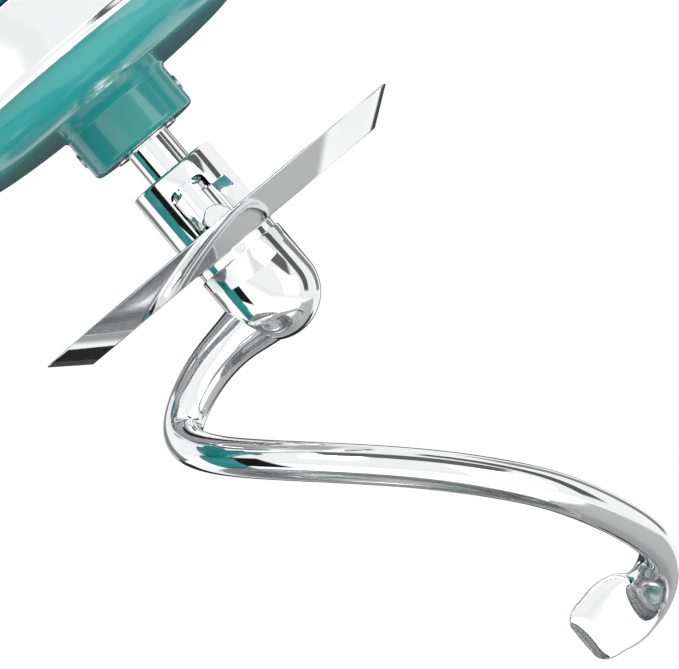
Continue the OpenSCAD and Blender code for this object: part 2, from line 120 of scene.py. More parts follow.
class Graph:
    """One material's node tree."""

    def __init__(self, name: str) -> None:
        """Starts an empty material called name."""
        self.material = bpy.data.materials.new(name)
        self.material.use_nodes = True
        self.tree = self.material.node_tree
        self.tree.nodes.clear()
        coordinates = self.tree.nodes.new("ShaderNodeTexCoord")
        self.place = Maths(self, coordinates.outputs["Object"])

    def node(self, kind: str, settings: dict | None = None, values: dict | None = None,
             out: object = 0) -> Maths:
        """Adds a node: its settings first, then its inputs.

        Args:
            kind: the node's type.
            settings: attributes of the node.
            values: numbers, tuples or Maths for its inputs, by name or index.
            out: the name or index of the output returned.

        Returns:
            The chosen output.
        """
        made = self.tree.nodes.new(kind)
        for key, value in (settings or {}).items():
            setattr(made, key, value)
        for key, value in (values or {}).items():
            if isinstance(value, Maths):
                self.tree.links.new(value.socket, made.inputs[key])
            else:
                made.inputs[key].default_value = value
        return Maths(self, made.outputs[out])

    def noise(self, scale: float, detail: float = 2.0, stretch: Sequence[float] = (1, 1, 1)) -> Maths:
        """Returns noise on the object's own coordinates.

        Args:
            scale: features per metre.
            detail: octaves.
            stretch: factors on X, Y and Z.

        Returns:
            The noise's value.
        """
        where = self.node("ShaderNodeMapping", None, {"Vector": self.place, "Scale": tuple(stretch)})
        return self.node("ShaderNodeTexNoise", None, {"Vector": where, "Scale": scale, "Detail": detail})

    def axis(self, which: str, origin: Vector = Vector(), turn: Matrix | None = None) -> Maths:
        """Returns one coordinate, X, Y or Z, measured from origin in axes turned by turn."""
        ends = {0: self.place, 1: tuple(origin)}
        moved = self.node("ShaderNodeVectorMath", {"operation": "SUBTRACT"}, ends)
        if turn is not None:
            direction = turn.col["XYZ".index(which)]
            return self.node("ShaderNodeVectorMath", {"operation": "DOT_PRODUCT"},
                             {0: moved, 1: tuple(direction)}, out="Value")
        return self.node("ShaderNodeSeparateXYZ", None, {0: moved}, out=which)

    def mix(self, factor: object, first: Sequence[float], second: Sequence[float]) -> Maths:
        """Returns a colour between first and second."""
        ends = {"Factor": factor, 6: (*first, 1.0), 7: (*second, 1.0)}
        return self.node("ShaderNodeMix", {"data_type": "RGBA"}, ends, out=2)

    def bump(self, height: Maths, depth: float, strength: float = 0.5) -> Maths:
        """Returns a normal pushed by height, depth metres deep."""
        return self.node("ShaderNodeBump", None, {"Height": height, "Distance": depth, "Strength": strength})

    def finish(self, **inputs: object) -> bpy.types.Material:
        """Adds the Principled shader; a name's underscores stand for spaces.

        Returns:
            The finished material.
        """
        values = {key.replace("_", " "): value for key, value in inputs.items()}
        shader = self.node("ShaderNodeBsdfPrincipled", None, values)
        output = self.tree.nodes.new("ShaderNodeOutputMaterial")
        self.tree.links.new(shader.socket, output.inputs["Surface"])
        return self.material


# ---------------------------------------------------------------- finishes


@dataclass(frozen=True)
class GlossPaint:
    """Enamel over a metal casting, with a clear coat."""

    colour: tuple[float, float, float] = (0.017, 0.315, 0.306)
    deep: tuple[float, float, float] = (0.012, 0.25, 0.246)
    roughness: float = 0.2

    def build(self, name: str) -> bpy.types.Material:
        """Returns the paint: fine flake, slow drift of tone and faint orange peel."""
        graph = Graph(name)
        drift = graph.noise(9.0, 2.0)
        flake = graph.noise(5200.0, 1.0).smooth(0.55, 0.75)
        peel = graph.noise(420.0, 2.0)
        tone = graph.mix(drift.smooth(0.35, 0.65) * 0.7 + flake * 0.3, self.deep, self.colour)
        rough = self.roughness + 0.05 * drift + 0.05 * flake
        return graph.finish(Base_Color=tone, Roughness=rough, Coat_Weight=0.6, Coat_Roughness=0.035,
                            Specular_IOR_Level=0.4, Normal=graph.bump(peel, 0.00004, 0.12))


@dataclass(frozen=True)
class Chrome:
    """Bright plating or hand-polished metal."""

    colour: tuple[float, float, float] = (0.84, 0.845, 0.85)
    roughness: float = 0.035

    def build(self, name: str) -> bpy.types.Material:
        """Returns the plating: slow polish waves, faint wipe marks and a little haze."""
        graph = Graph(name)
        haze = graph.noise(35.0, 3.0).smooth(0.4, 0.8)
        wipe = graph.noise(260.0, 3.0, (1.0, 1.0, 0.08)).smooth(0.5, 0.8)
        wave = graph.noise(60.0, 1.0)
        tone = graph.mix(haze, self.colour, tuple(channel * 0.97 for channel in self.colour))
        rough = self.roughness + 0.03 * haze + 0.02 * wipe
        return graph.finish(Base_Color=tone, Metallic=1.0, Roughness=rough,
                            Normal=graph.bump(wave, 0.00006, 0.08))


class Lay(Enum):
    """Which way a metal's brush or tool marks run: how much they are stretched on X, Y and Z."""

    ROUND = (0.03, 0.03, 1.0)
    NONE = (1.0, 1.0, 1.0)


@dataclass(frozen=True)
class WorkedMetal:
    """Brushed, turned, cast or sintered metal."""

    colour: tuple[float, float, float]
    roughness: float
    lay: Lay = Lay.ROUND
    marks: float = 900.0
    relief: float = 0.00002

    def build(self, name: str) -> bpy.types.Material:
        """Returns the metal, with marks along its lay, stains and a brushed relief."""
        graph = Graph(name)
        lines = graph.noise(self.marks, 4.0, self.lay.value)
        stain = graph.noise(24.0, 4.0).smooth(0.35, 0.75)
        worn = tuple(channel * 0.82 for channel in self.colour)
        tone = graph.mix(stain * 0.5 + lines * 0.4, self.colour, worn)
        rough = self.roughness + 0.12 * lines + 0.06 * stain
        return graph.finish(Base_Color=tone, Metallic=1.0, Roughness=rough,
                            Normal=graph.bump(lines, self.relief, 0.35))


@dataclass(frozen=True)
class Moulded:
    """Moulded plastic or rubber."""

    colour: tuple[float, float, float]
    roughness: float
    grain: float = 1800.0
    relief: float = 0.00005

    def build(self, name: str) -> bpy.types.Material:
        """Returns the moulding: spark-eroded grain, handling shine and a paler tone on the grain's raised
        spots.
        """
        graph = Graph(name)
        grain = graph.noise(self.grain, 3.0)
        shine = graph.noise(30.0, 2.0).smooth(0.4, 0.7)
        pale = tuple(min(1.0, channel * 1.25 + 0.01) for channel in self.colour)
        tone = graph.mix(grain.smooth(0.5, 0.8) * 0.5, self.colour, pale)
        rough = self.roughness - 0.1 * shine + 0.1 * grain
        return graph.finish(Base_Color=tone, Roughness=rough, Normal=graph.bump(grain, self.relief, 0.4))


@dataclass(frozen=True)
class Banded:
    """Stacked laminations or wound wire, in bands along one axis of the raised head."""

    colour: tuple[float, float, float]
    gap: tuple[float, float, float]
    pitch: float
    metal: float
    roughness: float = 0.4

    def build(self, name: str) -> bpy.types.Material:
        """Returns the bands, with a groove between each two."""
        graph = Graph(name)
        along = graph.axis("Z", turn=HEAD_TURN)
        ridge = graph.node("ShaderNodeMath", {"operation": "PINGPONG"}, {0: along, 1: self.pitch / 2})
        crest = (ridge / (self.pitch / 2)).smooth(0.1, 0.6)
        tone = graph.mix(crest, self.gap, self.colour)
        rough = self.roughness + 0.15 * graph.noise(300.0, 2.0)
        return graph.finish(Base_Color=tone, Metallic=self.metal, Roughness=rough,
                            Normal=graph.bump(crest, self.pitch * 0.3, 0.6))


def joint_named(name: str) -> dict:
    """Returns the record's joint called name."""
    return next(joint for joint in frame["record"]["behaviour"]["joints"] if joint["name"] == name)


# The raised head's own axes, taken from the frame: X to the nose, Z up the planetary shaft.
HINGE = Vector(joint_named("head_tilt")["pos_m"])
HEAD_UP = Vector(joint_named("carrier_spin")["axis"]).normalized()
HEAD_SIDE = Vector((0.0, 1.0, 0.0))
HEAD_FORE = HEAD_SIDE.cross(HEAD_UP).normalized()
HEAD_TURN = Matrix((HEAD_FORE, HEAD_SIDE, HEAD_UP)).transposed()
PLANET_AT = Vector(joint_named("carrier_spin")["pos_m"])
BEATER_AT = Vector(joint_named("beater_spin")["pos_m"])
COLLAR_DROP = 0.038  # the collar's top below the hinge's level, along the shaft

FINISHES = {
    "teal_paint": GlossPaint(),
    "chrome": Chrome(),
    "bowl_steel": WorkedMetal((0.74, 0.745, 0.75), 0.17, Lay.ROUND, 1400.0),
    "steel": WorkedMetal((0.55, 0.55, 0.57), 0.28, Lay.NONE, 1600.0),
    "bronze": WorkedMetal((0.62, 0.38, 0.14), 0.38, Lay.NONE, 2400.0, 0.00006),
    "cast_alloy": WorkedMetal((0.6, 0.6, 0.62), 0.45, Lay.NONE, 700.0, 0.00015),
    "dark_plastic": Moulded((0.012, 0.012, 0.013), 0.42),
    "pale_plastic": Moulded((0.72, 0.72, 0.69), 0.25, 1200.0, 0.00002),
    "rubber": Moulded((0.014, 0.014, 0.015), 0.75, 2600.0, 0.0001),
    "board": Moulded((0.02, 0.14, 0.05), 0.5, 900.0),
    "lamination": Banded((0.3, 0.3, 0.31), (0.05, 0.05, 0.05), 0.001, 0.9),
    "copper": Banded((0.5, 0.2, 0.07), (0.12, 0.04, 0.015), 0.0012, 1.0, 0.3),
}

HEAD_PLACE = Matrix.Translation(HINGE) @ HEAD_TURN.to_4x4()
PLANET_PLACE = Matrix.Translation(PLANET_AT) @ HEAD_TURN.to_4x4()
BEATER_PLACE = Matrix.Translation(BEATER_AT) @ HEAD_TURN.to_4x4()
COLLAR_PLACE = BEATER_PLACE @ Matrix.Translation((0.0, 0.0, -COLLAR_DROP))
BOWL_AT = Vector(joint_named("bowl_twist")["pos_m"])
BOWL_PLACE = Matrix.Translation((BOWL_AT.x, 0.0, 0.0))
COLUMN_PLACE = Matrix.Translation(HINGE)


# ---------------------------------------------------------------- mesh work


class Kit:
    """Makes pieces, gives each its finish and reports it."""

    def __init__(self) -> None:
        """Builds every finish once."""
        self.materials = {slot: finish.build(slot) for slot, finish in FINISHES.items()}
        self.replaced: set[str] = set()

    def add(self, name: str, mesh: bpy.types.Mesh, place: Matrix, body: str, slot: str,
            nodes: Sequence[str], crease: float = 35.0) -> None:
        """Puts a mesh in the scene as one finished piece, at the origin with its place in its mesh.

        Args:
            name: the piece's name.
            mesh: its mesh, in metres, in the axes of place.
            place: where those axes are at rest.
            body: the frame body that it rides on.
            slot: the material slot.
            nodes: the frame nodes that it stands for.
            crease: edges sharper than this many degrees stay sharp.
        """
        mesh.transform(place)
        cleaned(mesh, slivers=True)
        mesh.shade_smooth()
        mesh.set_sharp_from_angle(angle=math.radians(crease))
        mesh.materials.clear()
        mesh.materials.append(self.materials[slot])
        piece = bpy.data.objects.new(name, mesh)
        bpy.context.collection.objects.link(piece)
        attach(piece, body)
        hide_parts(*nodes)
        self.replaced.update(nodes)
        LOG.info("%s: %d faces on %s in %s", name, len(mesh.polygons), body, slot)

    def dress_nodes(self) -> None:
        """Gives every frame node that still shows its slot's finish."""
        slots = {part["node"]: part["material_slot"] for part in frame["record"]["subparts"]}
        for name, item in frame["nodes"].items():
            item.data.materials.clear()
            item.data.materials.append(self.materials[slots[name]])
        LOG.info("dressed %d nodes, %d of them replaced", len(slots), len(self.replaced))


def mesh_of(vertices: Sequence, faces: Sequence) -> bpy.types.Mesh:
    """Returns a mesh of millimetre points and faces."""
    mesh = bpy.data.meshes.new("work")
    mesh.from_pydata([tuple(float(value) * MM for value in point) for point in vertices], [], faces)
    mesh.update()
    return mesh


def cleaned(mesh: bpy.types.Mesh, slivers: bool = False) -> None:
    """Merges a mesh's double points and turns its faces outwards, and drops its slivers if told to."""
    work = bmesh.new()
    work.from_mesh(mesh)
    bmesh.ops.remove_doubles(work, verts=work.verts, dist=WELD)
    if slivers:
        bmesh.ops.dissolve_degenerate(work, edges=work.edges, dist=SLIVER)
    bmesh.ops.recalc_face_normals(work, faces=work.faces)
    work.to_mesh(mesh)
    work.free()


def joined(*meshes: bpy.types.Mesh) -> bpy.types.Mesh:
    """Returns one mesh of several."""
    work = bmesh.new()
    for mesh in meshes:
        work.from_mesh(mesh)
    result = bpy.data.meshes.new("work")
    work.to_mesh(result)
    work.free()
    return result


def revolved(profile: Profile, segments: int = 96, closed: bool = False) -> bpy.types.Mesh:
    """Turns an outline of (radius, height) about Z.

    Args:
        profile: the outline's points, in millimetres.
        segments: steps round the axis.
        closed: whether the last point joins the first.

    Returns:
        The mesh, its poles closed.
    """
    points, faces = [], []
    for step in range(segments):
        angle = 2 * math.pi * step / segments
        points += [(radius * math.cos(angle), radius * math.sin(angle), height) for radius, height in profile]
    count = len(profile)
    spans = range(count if closed else count - 1)
    for step in range(segments):
        here, there = step * count, (step + 1) % segments * count
        for index in spans:
            after = (index + 1) % count
            faces.append((here + index, there + index, there + after, here + after))
    return mesh_of(points, faces)


def rounded(profile: Profile, radii: Sequence[float], steps: int = 5, closed: bool = True) -> Profile:
    """Rounds the corners of an outline.

    Args:
        profile: the corners.
        radii: one radius for each corner, 0 to leave it sharp.
        steps: points on each arc.
        closed: whether the last point joins the first.

    Returns:
        The outline with each corner as a tangent curve.
    """
    result: Profile = []
    count = len(profile)
    for index, (corner, radius) in enumerate(zip(profile, radii)):
        ends = not closed and index in (0, count - 1)
        if radius <= 0 or ends:
            result.append(corner)
            continue
        here = np.array(corner, float)
        back = np.array(profile[index - 1], float) - here
        ahead = np.array(profile[(index + 1) % count], float) - here
        back_len, ahead_len = np.linalg.norm(back), np.linalg.norm(ahead)
        half = math.acos(np.clip(back @ ahead / (back_len * ahead_len), -1, 1)) / 2
        reach = min(radius / math.tan(half), 0.49 * back_len, 0.49 * ahead_len)
        first, last = here + back / back_len * reach, here + ahead / ahead_len * reach
        for step in range(steps + 1):
            t = step / steps
            point = (1 - t) ** 2 * first + 2 * t * (1 - t) * here + t * t * last
            result.append((float(point[0]), float(point[1])))
    return result


def turned(corners: Profile, radii: Sequence[float], segments: int, ring: bool = False,
           steps: int = 5) -> bpy.types.Mesh:
    """Turns an outline with rounded corners about Z.

    Args:
        corners: the outline's corners as (radius, height), in millimetres.
        radii: one radius for each corner.
        segments: steps round the axis.
        ring: whether the outline is closed, round a bore, and not run from the axis to the axis.
        steps: points on each rounded corner.

    Returns:
        The mesh.
    """
    return revolved(rounded(corners, radii, steps, closed=ring), segments, closed=ring)


def arc(radius: float, turns: Iterable[float], middle: tuple[float, float] = (0.0, 0.0)) -> Profile:
    """Returns the points of a circle about middle, one at each of turns."""
    return [(middle[0] + radius * math.cos(a), middle[1] + radius * math.sin(a)) for a in turns]


def tab(inner: float, outer: float, middle: float, half: float, low: float, high: float,
        edge: float) -> bpy.types.Mesh:
    """Returns a tab cut from a flat ring.

    Args:
        inner: the ring's inner radius, in millimetres.
        outer: its outer radius.
        middle: where the tab is, in degrees.
        half: how far it reaches to each side, in degrees.
        low: its underside.
        high: its top.
        edge: how much its edges are rounded.

    Returns:
        The mesh.
    """
    turns = [math.radians(middle + a) for a in np.linspace(-half, half, 14)]
    plan = arc(inner, turns) + arc(outer, turns[::-1])
    return bevelled(prism(plan[::-1], low, high), edge)


def repeated(mesh: bpy.types.Mesh, places: Iterable[Matrix]) -> bpy.types.Mesh:
    """Returns one mesh with a copy of mesh at each of places."""
    copies = []
    for place in places:
        copy = mesh.copy()
        copy.transform(place)
        copies.append(copy)
    return joined(*copies)


def prism(outline: Profile, low: float, high: float, turn: Matrix | None = None) -> bpy.types.Mesh:
    """Returns an outline in X and Y as a solid from low to high, turned by turn."""
    count = len(outline)
    points = [(x, y, z) for z in (low, high) for x, y in outline]
    sides = [(i, (i + 1) % count, count + (i + 1) % count, count + i) for i in range(count)]
    mesh = mesh_of(points, [tuple(reversed(range(count))), tuple(range(count, 2 * count))] + sides)
    if turn is not None:
        mesh.transform(turn)
    return mesh


def stacked(rings: Sequence[Sequence[tuple[float, float, float]]], cap: bool = True) -> bpy.types.Mesh:
    """Returns a skin over rings of equal length, its two ends closed if cap is set."""
    count = len(rings[0])
    points = [point for ring in rings for point in ring]
    faces = []
    for low in range(0, (len(rings) - 1) * count, count):
        high = low + count
        faces += [(low + i, low + (i + 1) % count, high + (i + 1) % count, high + i) for i in range(count)]
    if cap:
        faces += [tuple(reversed(range(count))), tuple(range(len(points) - count, len(points)))]
    return mesh_of(points, faces)


def baked(mesh: bpy.types.Mesh, setup: Callable[[bpy.types.Object], None]) -> bpy.types.Mesh:
    """Returns a mesh after the modifiers that setup adds to an object that holds it."""
    holder = bpy.data.objects.new("work", mesh)
    bpy.context.collection.objects.link(holder)
    setup(holder)
    bpy.context.view_layer.update()
    ready = holder.evaluated_get(bpy.context.evaluated_depsgraph_get())
    result = bpy.data.meshes.new_from_object(ready)
    bpy.data.objects.remove(holder)
    return result


def cut(mesh: bpy.types.Mesh, tool: bpy.types.Mesh, operation: str = "DIFFERENCE") -> bpy.types.Mesh:
    """Returns mesh less tool, or joined with it if operation is UNION."""
    cleaned(mesh)
    cleaned(tool)
    helper = bpy.data.objects.new("tool", tool)
    bpy.context.collection.objects.link(helper)

    def setup(holder: bpy.types.Object) -> None:
        """Adds the Boolean."""
        modifier = holder.modifiers.new("cut", "BOOLEAN")
        modifier.operation = operation
        modifier.solver = "EXACT"
        modifier.object = helper

    result = baked(mesh, setup)
    bpy.data.objects.remove(helper)
    return result


def bevelled(mesh: bpy.types.Mesh, width: float, segments: int = 3, angle: float = 35.0) -> bpy.types.Mesh:
    """Returns a mesh with its edges sharper than angle rounded, width in millimetres."""

    def setup(holder: bpy.types.Object) -> None:
        """Adds the Bevel."""
        modifier = holder.modifiers.new("round", "BEVEL")
        modifier.width = width * MM
        modifier.segments = segments
        modifier.limit_method = "ANGLE"
        modifier.angle_limit = math.radians(angle)
        modifier.harden_normals = False

    return baked(mesh, setup)


def cast_skin(mesh: bpy.types.Mesh, grid: float, rounds: int) -> bpy.types.Mesh:
    """Returns a mesh as a soft-edged casting.

    Args:
        mesh: closed solids, which may overlap.
        grid: size of the new faces, in millimetres.
        rounds: passes of smoothing, which soften the edges.

    Returns:
        One closed skin.
    """

    def setup(holder: bpy.types.Object) -> None:
        """Adds the Remesh and the smoothing."""
        remesh = holder.modifiers.new("skin", "REMESH")
        remesh.mode = "VOXEL"
        remesh.voxel_size = grid * MM
        smooth = holder.modifiers.new("soften", "SMOOTH")
        smooth.iterations = rounds
        smooth.factor = 0.5

    return baked(mesh, setup)


def spline(points: Sequence[Sequence[float]], per_span: int) -> np.ndarray:
    """Returns a Catmull-Rom curve through points, smoothed a little along its length."""
    rows = np.array(points, float)
    result = []
    for i in range(len(rows) - 1):
        a, b, c, d = rows[max(i - 1, 0)], rows[i], rows[i + 1], rows[min(i + 2, len(rows) - 1)]
        for k in range(per_span):
            t = k / per_span
            result.append(0.5 * (2 * b + (c - a) * t + (2 * a - 5 * b + 4 * c - d) * t ** 2
                                 + (3 * b - a - 3 * c + d) * t ** 3))
    result.append(rows[-1])
    curve = np.array(result)
    for _ in range(per_span * per_span // 3):
        curve[1:-1] = 0.25 * curve[:-2] + 0.5 * curve[1:-1] + 0.25 * curve[2:]
    return curve


def screws(places: Sequence[Vector], axis: Vector, radius: float,
           material: bpy.types.Material) -> bpy.types.Mesh:
    """Sets pan-head screws on a list of places with a Geometry Nodes tree.

    Args:
        places: the middle of each screw's head, in metres.
        axis: the way the heads face.
        radius: the head's radius, in millimetres.
        material: the finish of every screw.

    Returns:
        One plain mesh of all the screws.
    """
    foot = -radius * 0.4
    head = turned([(0, radius * 0.75), (radius, radius * 0.35), (radius, foot), (0, foot)],
                  [radius * 0.8, radius * 0.3, radius * 0.1, 0], 40)
    long, wide = radius * 0.6, radius * 0.13
    cross = [(-long, -wide), (long, -wide), (long, wide), (-long, wide)]
    for turn in (0.0, QUARTER):
        head = cut(head, prism(cross, radius * 0.25, radius * 2, Matrix.Rotation(turn, 4, "Z")))
    pattern = bpy.data.objects.new("screw_pattern", head)
    tree = bpy.data.node_groups.new("screw_set", "GeometryNodeTree")
    tree.interface.new_socket("Geometry", in_out="INPUT", socket_type="NodeSocketGeometry")
    pattern_socket = tree.interface.new_socket("Screw", in_out="INPUT", socket_type="NodeSocketObject")
    facing_socket = tree.interface.new_socket("Facing", in_out="INPUT", socket_type="NodeSocketVector")
    finish_socket = tree.interface.new_socket("Finish", in_out="INPUT", socket_type="NodeSocketMaterial")
    tree.interface.new_socket("Geometry", in_out="OUTPUT", socket_type="NodeSocketGeometry")
    entry, leave = tree.nodes.new("NodeGroupInput"), tree.nodes.new("NodeGroupOutput")
    source = tree.nodes.new("GeometryNodeObjectInfo")
    align = tree.nodes.new("FunctionNodeAlignRotationToVector")
    align.axis = "Z"
    scatter = tree.nodes.new("GeometryNodeInstanceOnPoints")
    real = tree.nodes.new("GeometryNodeRealizeInstances")
    dress = tree.nodes.new("GeometryNodeSetMaterial")
    link = tree.links.new
    link(entry.outputs["Screw"], source.inputs["Object"])
    link(entry.outputs["Facing"], align.inputs["Vector"])
    link(entry.outputs["Geometry"], scatter.inputs["Points"])
    link(source.outputs["Geometry"], scatter.inputs["Instance"])
    link(align.outputs["Rotation"], scatter.inputs["Rotation"])
    link(scatter.outputs["Instances"], real.inputs["Geometry"])
    link(real.outputs["Geometry"], dress.inputs["Geometry"])
    link(entry.outputs["Finish"], dress.inputs["Material"])
    link(dress.outputs["Geometry"], leave.inputs["Geometry"])
    points = bpy.data.meshes.new("screw_places")
    points.from_pydata([tuple(place) for place in places], [], [])

    def setup(holder: bpy.types.Object) -> None:
        """Adds the node tree with its inputs."""
        modifier = holder.modifiers.new("screws", "NODES")
        modifier.node_group = tree
        modifier[pattern_socket.identifier] = pattern
        modifier[facing_socket.identifier] = tuple(axis)
        modifier[finish_socket.identifier] = material

    result = baked(points, setup)
    bpy.data.objects.remove(pattern)
    return result


# ---------------------------------------------------------------- sub-assemblies


@dataclass
class DoughHook:
    """The hook: collar, deflector dish and spiral arm. Heights run down from the collar's top."""

    collar_r: float = 12.5
    bore_r: float = 6.4
    pan_r: float = 47.7
    rim_r: float = 57.25
    pan_z: float = -25.6
    rim_z: float = -18.3
    sheet: float = 0.9
    slot_low: float = -21.3
    slot_top: float = -5.2
    tongue_low: float = -9.6
    # Points on the arm's centre line with the section's half height and half thickness
    path: list[tuple[float, ...]] = field(default_factory=lambda: [
        (2, 0, -43, 10, 10), (-8, 0.5, -44, 8, 8), (-16, 2, -44.3, 6.4, 6.4), (-26, 3, -45.8, 6, 6),
        (-36.5, 3, -50, 5.6, 5.6), (-43.2, -2, -56, 5, 5), (-36.7, -20.5, -64.5, 5, 5),
        (-19.8, -35, -79, 5, 5), (0, -38.5, -97.3, 5, 5), (15, -34, -114.5, 5, 5),
        (25.2, -25.5, -129.4, 5, 5), (34.5, -4, -152.5, 5, 4.8), (32.5, 8, -162, 6, 4.2),
        (26, 14, -166.9, 6.8, 3.4), (21, 16, -167, 9.3, 2.9), (15.5, 16.5, -166.5, 10.2, 2.4),
        (9.5, 16.5, -166.5, 9, 2.1)])

    def collar(self) -> bpy.types.Mesh:
        """Returns the collar with a bayonet slot on each side."""
        spigot_r = self.collar_r - 0.6
        mesh = turned([(self.bore_r, -25), (self.bore_r, 0), (self.collar_r, 0), (self.collar_r, self.pan_z),
                       (spigot_r, -25.9), (spigot_r, -28), (AXIS, -28), (AXIS, -25)],
                      [0, 0.5, 0.9, 0.2, 0.2, 0, 0, 0], 160, ring=True)
        slot = rounded([(-5.2, self.slot_low), (-5.2, self.slot_top), (5.7, self.slot_top),
                        (5.7, self.tongue_low), (10.1, self.tongue_low), (10.1, 2), (14, 2),
                        (14, self.slot_low)], [1, 2.6, 2.6, 0.6, 0.6, 0, 0, 1])
        for turn in (0.0, math.pi):
            mesh = cut(mesh, prism(slot, 0.2, 14.0, Matrix.Rotation(turn, 4, "Z") @ ACROSS))
        return bevelled(mesh, 0.45, 3, 40)

    def deflector(self) -> bpy.types.Mesh:
        """Returns the dish: a flat pan, a coned wall and a rolled rim."""
        wall = np.array([self.rim_r - self.pan_r, self.rim_z - self.pan_z], float)
        inward = np.array([-wall[1], wall[0]]) / np.linalg.norm(wall) * self.sheet
        top = self.pan_z + self.sheet
        hole_r = self.collar_r - 0.3
        outline = [(hole_r, self.pan_z), (self.pan_r, self.pan_z), (self.rim_r, self.rim_z - 0.3),
                   (self.rim_r + inward[0], self.rim_z), (self.pan_r - 0.5, top), (hole_r, top)]
        return turned(outline, [0, 1.2, 0.35, 0.35, 1.0, 0], 256, ring=True, steps=6)

    def arm(self) -> bpy.types.Mesh:
        """Returns the neck with its round elbow, and the bar that leaves it and winds down to the leaf."""
        neck = [(0.0, -28.0), (12.4, -28.0), (12.7, -28.5), (12.7, -41.0)]
        neck += [(12.7 * math.cos(a), -41 - 12.7 * math.sin(a)) for a in np.linspace(0.1, QUARTER, 16)]
        rail = spline(self.path, 14)
        rings = []
        for index, row in enumerate(rail):
            ahead = rail[min(index + 1, len(rail) - 1)][:3] - rail[max(index - 1, 0)][:3]
            ahead /= np.linalg.norm(ahead)
            up = np.array([0.0, 0.0, 1.0]) - ahead[2] * ahead
            up /= np.linalg.norm(up)
            rings.append((row, ahead, up, np.cross(ahead, up)))
        row, ahead, up, side = rings[-1]
        for step in range(1, 10):
            angle = step * math.pi / 18
            shrink = np.array([4.6, 1.7]) * (1 - math.cos(angle))
            end = np.array([*(row[:3] + ahead * 6.2 * math.sin(angle)), *(row[3:] - shrink)])
            rings.append((end, ahead, up, side))
        skins = []
        for row, _, up, side in rings:
            turns = np.linspace(0, 2 * math.pi, 48, endpoint=False)
            dished = 1.1 * max(0.0, 1 - row[4] / row[3])
            skins.append([row[:3] + row[3] * math.cos(t) * up
                          + (row[4] * math.sin(t) + dished * (1 - math.cos(t) ** 2)) * side for t in turns])
        return joined(revolved(neck, 96), stacked(skins))

    def build(self, kit: Kit) -> None:
        """Adds the three pieces."""
        for name, mesh, node, crease in (("hook_collar_turned", self.collar(), "hook_collar", 30),
                                         ("hook_deflector_spun", self.deflector(), "hook_deflector", 50),
                                         ("hook_arm_forged", self.arm(), "hook_arm", 50)):
            kit.add(name, mesh, COLLAR_PLACE, "dough_hook", "chrome", [node], crease)


@dataclass
class BeaterDrive:
    """The shaft that carries the hook, with its cross pin and thrust washer."""

    shaft_r: float = 6.35
    pin_r: float = 3.5
    pin_z: float = -17.2
    pin_turn: float = 7.0
    pin_half: float = 12.2

    def build(self, kit: Kit) -> None:
        """Adds the shaft, pin and washer."""
        shaft = turned([(0, -24), (self.shaft_r, -24), (self.shaft_r, 51.5), (0, 51.5)], [0, 1.0, 0.5, 0], 96)
        kit.add("beater_shaft_ground", shaft, COLLAR_PLACE, "beater_drive", "chrome", ["beater_shaft"], 40)
        pin = turned([(0, -self.pin_half), (self.pin_r, -self.pin_half), (self.pin_r, self.pin_half),
                      (0, self.pin_half)], [0, 0.5, 0.5, 0], 64)
        lift = Matrix.Translation((0, 0, self.pin_z * MM))
        place = COLLAR_PLACE @ lift @ Matrix.Rotation(math.radians(self.pin_turn), 4, "Z") @ ACROSS
        kit.add("cross_pin_turned", pin, place, "beater_drive", "chrome", ["cross_pin"], 40)
        washer = turned([(self.shaft_r, 9.1), (9.5, 9.1), (9.5, 9.85), (self.shaft_r, 9.85)],
                        [0, 0.25, 0.25, 0], 96, ring=True)
        kit.add("thrust_washer_pressed", washer, COLLAR_PLACE, "beater_drive", "chrome",
                ["thrust_washer"], 40)


